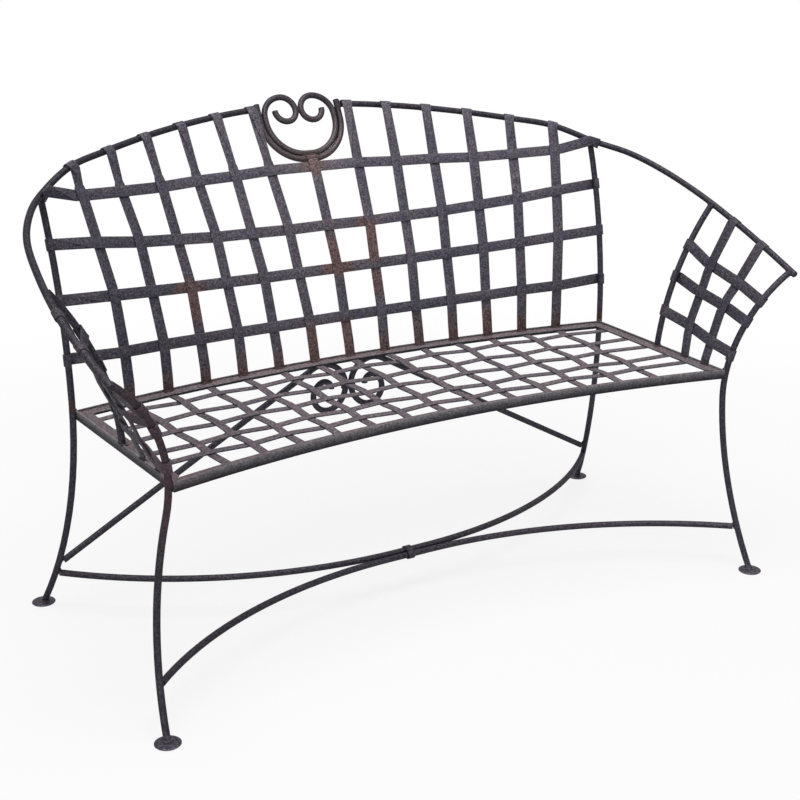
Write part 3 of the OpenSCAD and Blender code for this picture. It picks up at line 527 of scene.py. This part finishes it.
def ringWeld(bm, end, axis, target, bead, seed):
    c = weldBead
    axis = axis.normalized()
    u = axis.orthogonal().normalized()
    v = axis.cross(u)
    count = c["around"]
    path = []
    for k in range(count):
        a = 2.0 * math.pi * k / count
        start = end + (u * math.cos(a) + v * math.sin(a)) * (rodRadius + bead * c["off"])
        hit = target.ray_cast(start - axis * c["above"], axis, c["probe"])[0]
        path.append(hit if hit else target.find_nearest(start)[0])
    # the bead settles: each point moves towards its two neighbours
    for _ in range(c["settled"]):
        path = [(path[k - 1] + path[k] * 2.0 + path[(k + 1) % count]) / 4.0
            for k in range(count)]
    run = 0.0
    radii = []
    for k in range(count):
        run += (path[k] - path[k - 1]).length
        radii.append(bead * rippled(path[k], run, seed))
    sweptTube(bm, path, radii, c["sides"], closed=True)


def lineWeld(bm, start, end, bead, seed):
    c = weldBead
    length = (end - start).length
    count = max(c["fewest"], int(length / c["step"]))
    path = [start.lerp(end, k / count) for k in range(count + 1)]
    radii = []
    for k, place in enumerate(path):
        taper = math.sin(math.pi * (c["tip"] + c["run"] * k / count)) ** c["taper"]
        radii.append(bead * taper * rippled(place, length * k / count, seed))
    sweptTube(bm, path, radii, c["sides"])


def weldPiece(name, bm):
    finishMesh(name, bm, "rod_iron", "weld", weldBead["crease"])


def endWelds(name, joints):
    bm = bmesh.new()
    for node, outer, inner, across, target, bead in joints:
        near, far = middleAt(node, outer, across), middleAt(node, inner, across)
        ringWeld(bm, near, near - far, surfaceOf(target), bead, len(bm.verts) * weldBead["vary"])
    weldPiece(name, bm)


def handedJoints(rows):
    made = []
    for node, outer, inner, across, target, bead in rows:
        for hand, sign in hands.items():
            turned = [Vector((p[0] * sign, p[1], p[2])) for p in (outer, inner, across)]
            made.append((node.format(hand), *turned, target.format(hand), bead))
    return made


# rods welded at their ends: the rod, a point at its end and one further in, the way across which
# it is cut there, what it is welded to, and the bead's radius; right half, in metres
rodJoints = {
    "foot_welds": [
        ("front_leg_{}", (0.648, -0.376, 0.0070), (0.648, -0.372, 0.0200), upward,
            "feet", 0.0022),
        ("back_leg_{}", (0.666, 0.234, 0.0070), (0.663, 0.230, 0.0200), upward,
            "feet", 0.0022)],
    "stretcher_welds": [
        ("front_stretcher", (0.630, -0.320, 0.087), (0.612, -0.300, 0.086), sideways,
            "front_leg_{}", 0.0021),
        ("back_stretcher", (0.636, 0.174, 0.079), (0.618, 0.156, 0.079), sideways,
            "back_leg_{}", 0.0021),
        ("brace_{}", (0.628, 0.190, 0.104), (0.600, 0.189, 0.114), sideways,
            "back_leg_{}", 0.0020)],
    "post_welds": [
        ("arm_post_{}", (0.600, -0.107, 0.437), (0.601, -0.109, 0.455), upward,
            "side_rail_{}", 0.0026),
        ("arm_post_{}", (0.714, -0.118, 0.718), (0.710, -0.118, 0.705), upward,
            "crest_rail_{}", 0.0020),
        ("front_leg_{}", (0.693, -0.362, 0.626), (0.688, -0.358, 0.615), upward,
            "crest_rail_{}", 0.0021),
        ("back_leg_{}", (0.622, 0.178, 0.815), (0.621, 0.176, 0.800), upward,
            "crest_rail_{}", 0.0020)],
}
for name, rows in rodJoints.items():
    endWelds(name, handedJoints(rows))
print("rods welded")


# the end of flat stock that points this way: its middle and half its width, from its solid's
# points within depth of the end; two corners on one side are a pair if about as far out
def footOf(node, way, depth, region=None, pair=0.8):
    found = [v.co.copy() for v in nodes[node].data.vertices]
    if region:
        found = [p for p in found if region(p)]
    limit = max(p.dot(way) for p in found) - depth
    found = [p for p in found if p.dot(way) >= limit]
    middle = middleOf(found)
    far = max(found, key=lambda p: (p - middle).length)
    same = [p - middle for p in found if (p - middle).dot(far - middle) > 0]
    outer = max(same, key=lambda p: p.length)
    inner = min(same, key=lambda p: p.length) if len(same) > 1 else outer
    width = (outer + inner) / 2.0 if inner.length > outer.length * pair else outer
    return middle, width


# back slats stand on the back rail, with a bead in front and a smaller one behind
slatFeet = {"bead": 0.0021, "front": 0.0023, "rise": 0.0004, "depth": 0.0006, "behind": 0.0016,
    "behindRise": 0.0040, "behindSpan": 0.8, "behindBead": 0.62, "behindSeed": 20}


def makeSlatFootWelds():
    c = slatFeet
    bm = bmesh.new()
    for i in range(1, slatCount + 1):
        middle, width = footOf("back_slat_%02d" % i, downward, c["depth"])
        width.z = 0.0
        front = Vector((-width.y, width.x, 0.0)).normalized()
        if front.y > 0:
            front = -front
        base = Vector((middle.x, middle.y, seatTop + c["rise"]))
        ahead = front * c["front"]
        lineWeld(bm, base - width + ahead, base + width + ahead, c["bead"], i)
        base.z += c["behindRise"]
        span, behind = width * c["behindSpan"], front * c["behind"]
        lineWeld(bm, base - span - behind, base + span - behind, c["bead"] * c["behindBead"],
            i + c["behindSeed"])
    weldPiece("slat_foot_welds", bm)


# arm slats stand on the side rails: where along the rail each is looked for, the beads on the
# inner side (step in and radius), which run down from the rim to the flange, and the outer bead
armSlatFeet = {"regions": ((-0.35, -0.222), (-0.222, -0.10)), "depth": 0.0006,
    "inner": ((0.0020, 0.0021), (0.0038, 0.0023)), "rise": 0.0046, "face": 0.0020, "slope": 1.9,
    "outerBead": 0.0016, "outerSpan": 0.9, "varyX": 50.0, "varyY": 90.0, "varyOuter": 70.0}


def makeArmSlatWelds():
    c = armSlatFeet
    bm = bmesh.new()
    for hand, sign in hands.items():
        for low, high in c["regions"]:
            middle, width = footOf("arm_slats_" + hand, downward, c["depth"],
                lambda p: low < p.y < high)
            width.z = 0.0
            inner = Vector((-sign, 0.0, 0.0))
            for step, bead in c["inner"]:
                base = middle + inner * step
                base.z = seatTop + c["rise"] - (step - c["face"]) * c["slope"]
                lineWeld(bm, base - width, base + width, bead,
                    base.x * c["varyX"] + base.y * c["varyY"] + step)
            outer, span = middle - inner * c["face"], width * c["outerSpan"]
            lineWeld(bm, outer - span, outer + span, c["outerBead"], base.y * c["varyOuter"])
    weldPiece("arm_slat_welds", bm)


# seat slats and straps are tacked to the undersides of the flanges
seatTacks = {"bead": 0.0013, "rise": 0.0014, "out": 0.0008, "depth": 0.0030, "span": 0.9}


def makeSeatTacks():
    c = seatTacks
    bm = bmesh.new()
    ends = [("seat_slat_%02d" % i, Vector((0.0, way, 0.0)))
        for i in range(1, slatCount + 1) for way in (-1.0, 1.0)]
    ends += [("seat_strap_%d" % k, Vector((way, 0.0, 0.0)))
        for k in range(1, seatStrapCount + 1) for way in (-1.0, 1.0)]
    for seed, (node, way) in enumerate(ends):
        middle, width = footOf(node, way, c["depth"])
        width.z = 0.0
        base = middle + Vector((0.0, 0.0, c["rise"])) + way * c["out"]
        lineWeld(bm, base - width * c["span"], base + width * c["span"], c["bead"], seed)
    weldPiece("seat_tack_welds", bm)


# leg against the corner of the seat frame: one bead down each side of the touching line, and a
# short one over the top
cornerWelds = {"corners": (("front_leg_", "front_rail", -0.315), ("back_leg_", "back_rail", 0.120)),
    "aside": 0.610, "low": 0.4165, "high": 0.4345, "bead": 0.0023, "apart": 0.0030, "out": 0.0012,
    "topOut": 0.0010, "topSpan": 0.0045, "topRise": 0.0004, "vary": 3.0, "varyTop": 5.0}


def makeCornerWelds():
    c = cornerWelds
    bm = bmesh.new()
    for leg, rail, y in c["corners"]:
        for hand, sign in hands.items():
            ends = []
            for z in (c["low"], c["high"]):
                middle = middleAt(leg + hand, (sign * c["aside"], y, z), upward)
                spots = [surfaceOf(n).find_nearest(middle)[0] for n in (rail, "side_rail_" + hand)]
                spot = min(spots, key=lambda p: (p - middle).length)
                away = middle - spot
                away.z = 0.0
                ends.append((spot, away.normalized()))
            for turn in (-1.0, 1.0):
                line = [spot + Vector((-away.y, away.x, 0.0)) * turn * c["apart"]
                    + away * c["out"] for spot, away in ends]
                line[0].z, line[1].z = c["low"], c["high"]
                lineWeld(bm, line[0], line[1], c["bead"], sign * c["vary"] + turn + y)
            spot, away = ends[1]
            top = spot + away * c["topOut"]
            side = Vector((-away.y, away.x, 0.0)) * c["topSpan"]
            top.z = c["high"] + c["topRise"]
            lineWeld(bm, top - side, top + side, c["bead"], sign * c["varyTop"] + y)
    weldPiece("corner_welds", bm)


# heart: its plane leans back, in degrees, through the point at depth and height; curls tacked
# where they touch, both bows welded along the bottom, and the middle slat and the crest rails
# welded to the loop
heartWelds = {"lean": 28.5, "depth": 0.386000, "height": 0.924648, "bead": 0.0019, "off": 0.0024,
    "curls": (-0.0165, -0.0035), "bottom": -0.1135, "bottomHalf": 0.021, "bottomOff": 1.3,
    "slatHalf": 0.0105, "slatDepth": 0.0012, "railEnd": (0.1030, 0.380, 0.922),
    "railInside": (0.1200, 0.376, 0.920), "railBead": 0.0020, "varyCurls": 900.0,
    "varyBottom": 700.0, "slatSeed": 4.0, "varyRails": 6.0}


def inLoop(x, up, out):
    lean = math.radians(heartWelds["lean"])
    return Vector((x, heartWelds["depth"] + up * math.sin(lean) - out * math.cos(lean),
        heartWelds["height"] + up * math.cos(lean) + out * math.sin(lean)))


def makeHeartWelds():
    c = heartWelds
    bm = bmesh.new()
    low, high = c["curls"]
    for out in (-c["off"], c["off"]):
        lineWeld(bm, inLoop(0.0, low, out), inLoop(0.0, high, out), c["bead"],
            out * c["varyCurls"])
        lineWeld(bm, inLoop(-c["bottomHalf"], c["bottom"], out * c["bottomOff"]),
            inLoop(c["bottomHalf"], c["bottom"], out * c["bottomOff"]), c["bead"],
            out * c["varyBottom"])
    tip, _ = footOf("back_slat_07", upward, c["slatDepth"])
    lineWeld(bm, Vector((-c["slatHalf"], tip.y, tip.z)), Vector((c["slatHalf"], tip.y, tip.z)),
        c["bead"], c["slatSeed"])
    for hand, sign in hands.items():
        near, far = [middleAt("crest_rail_" + hand, (sign * x, y, z), sideways)
            for x, y, z in (c["railEnd"], c["railInside"])]
        ringWeld(bm, near, near - far, surfaceOf("crest_loop"), c["railBead"],
            sign * c["varyRails"])
    weldPiece("heart_welds", bm)


makeSlatFootWelds()
makeArmSlatWelds()
makeSeatTacks()
makeCornerWelds()
makeHeartWelds()
print("flat stock and heart welded")

# where the photo was taken from: place in metres, lens and sensor in millimetres
photoView = {"place": (-1.35538, -2.33264, 1.27965), "right": (0.86064, -0.50922, -0.00216),
    "down": (-0.16292, -0.27134, -0.94860), "lens": 63.72, "sensor": 36.0, "near": 0.05,
    "far": 60.0}


def makeCamera():
    c = photoView
    data = bpy.data.cameras.new("photoCamera")
    data.sensor_width = c["sensor"]
    data.lens = c["lens"]
    data.clip_start, data.clip_end = c["near"], c["far"]
    camera = bpy.data.objects.new("photoCamera", data)
    bpy.context.scene.collection.objects.link(camera)
    right = Vector(c["right"]).normalized()
    up = -Vector(c["down"])
    up = (up - right * up.dot(right)).normalized()
    turned = Matrix((right, up, right.cross(up))).transposed().to_4x4()
    camera.matrix_world = Matrix.Translation(c["place"]) @ turned
    bpy.context.scene.camera = camera


makeCamera()

# a large soft box overhead and a smaller one beside the camera
lamps = {
    "topBox": {"place": (-0.4, -0.7, 5.0), "aim": (0.0, 0.0, 0.4), "size": (3.6, 3.0),
        "power": 200.0},
    "frontBox": {"place": (-2.2, -3.0, 1.9), "aim": (0.0, 0.0, 0.5), "size": (1.6, 1.6),
        "power": 19.0},
}


def softLight(name, place, aim, size, power):
    data = bpy.data.lights.new(name, "AREA")
    data.shape = "RECTANGLE"
    data.size, data.size_y = size
    data.energy = power
    light = bpy.data.objects.new(name, data)
    bpy.context.scene.collection.objects.link(light)
    light.location = place
    light.rotation_mode = "QUATERNION"
    light.rotation_quaternion = (Vector(aim) - Vector(place)).to_track_quat("-Z", "Y")


for name, lamp in lamps.items():
    softLight(name, **lamp)

# the room lights the bench dimly, and is white where the camera or a reflection sees it
room = {"light": (0.97, 0.98, 1.0, 1.0), "strength": 0.22, "white": (1.0, 1.0, 1.0, 1.0)}


def makeRoom():
    world = bpy.data.worlds.new("whiteRoom")
    bpy.context.scene.world = world
    world.use_nodes = True
    tree = world.node_tree
    tree.nodes.clear()
    shells = []
    for colour, strength in ((room["light"], room["strength"]), (room["white"], 1.0)):
        shell = tree.nodes.new("ShaderNodeBackground")
        shell.inputs["Color"].default_value = colour
        shell.inputs["Strength"].default_value = strength
        shells.append(shell)
    path = tree.nodes.new("ShaderNodeLightPath")
    seen = path.outputs["Is Camera Ray"]
    for kind in ("Is Glossy Ray", "Is Transmission Ray"):
        either = tree.nodes.new("ShaderNodeMath")
        either.operation = "MAXIMUM"
        tree.links.new(seen, either.inputs[0])
        tree.links.new(path.outputs[kind], either.inputs[1])
        seen = either.outputs[0]
    mix = tree.nodes.new("ShaderNodeMixShader")
    tree.links.new(seen, mix.inputs[0])
    tree.links.new(shells[0].outputs[0], mix.inputs[1])
    tree.links.new(shells[1].outputs[0], mix.inputs[2])
    tree.links.new(mix.outputs[0], tree.nodes.new("ShaderNodeOutputWorld").inputs["Surface"])


# near the bench the floor keeps its shadow, and further off it fades to the white room: half its
# width, how far it lies below the feet and the distances of the fade, in metres
whiteFloor = {"half": 30.0, "drop": 0.0004, "colour": (0.86, 0.86, 0.86), "rough": 0.9,
    "near": 0.7, "far": 2.4, "glow": 0.82}


def makeFloor():
    c = whiteFloor
    bm = bmesh.new()
    bmesh.ops.create_grid(bm, x_segments=1, y_segments=1, size=c["half"])
    mesh = bpy.data.meshes.new("floor")
    bm.to_mesh(mesh)
    bm.free()
    floor = bpy.data.objects.new("floor", mesh)
    floor.location = (0.0, 0.0, -c["drop"])
    bpy.context.scene.collection.objects.link(floor)
    g = Graph("floorPaint")
    paint = g.node("BsdfPrincipled", {"Base Color": c["colour"], "Roughness": c["rough"]})
    white = g.node("Emission", {"Color": (1.0, 1.0, 1.0), "Strength": 1.0})
    rays = g.node("LightPath")
    seen = g.math("MAXIMUM", rays.outputs["Is Camera Ray"], rays.outputs["Is Transmission Ray"])
    seen = g.math("MAXIMUM", seen, rays.outputs["Is Glossy Ray"])
    away = g.node("VectorMath", {0: g.node("TexCoord").outputs["Object"]}, operation="LENGTH")
    glow = g.spread(away.outputs["Value"], c["near"], c["far"], c["glow"], 1.0)
    mix = g.node("MixShader", {0: g.times(seen, glow), 1: paint, 2: white})
    g.put(g.node("OutputMaterial").inputs["Surface"], mix)
    mesh.materials.append(g.material)


makeRoom()
makeFloor()
bpy.context.scene.view_settings.view_transform = "Standard"
print("studio ready")
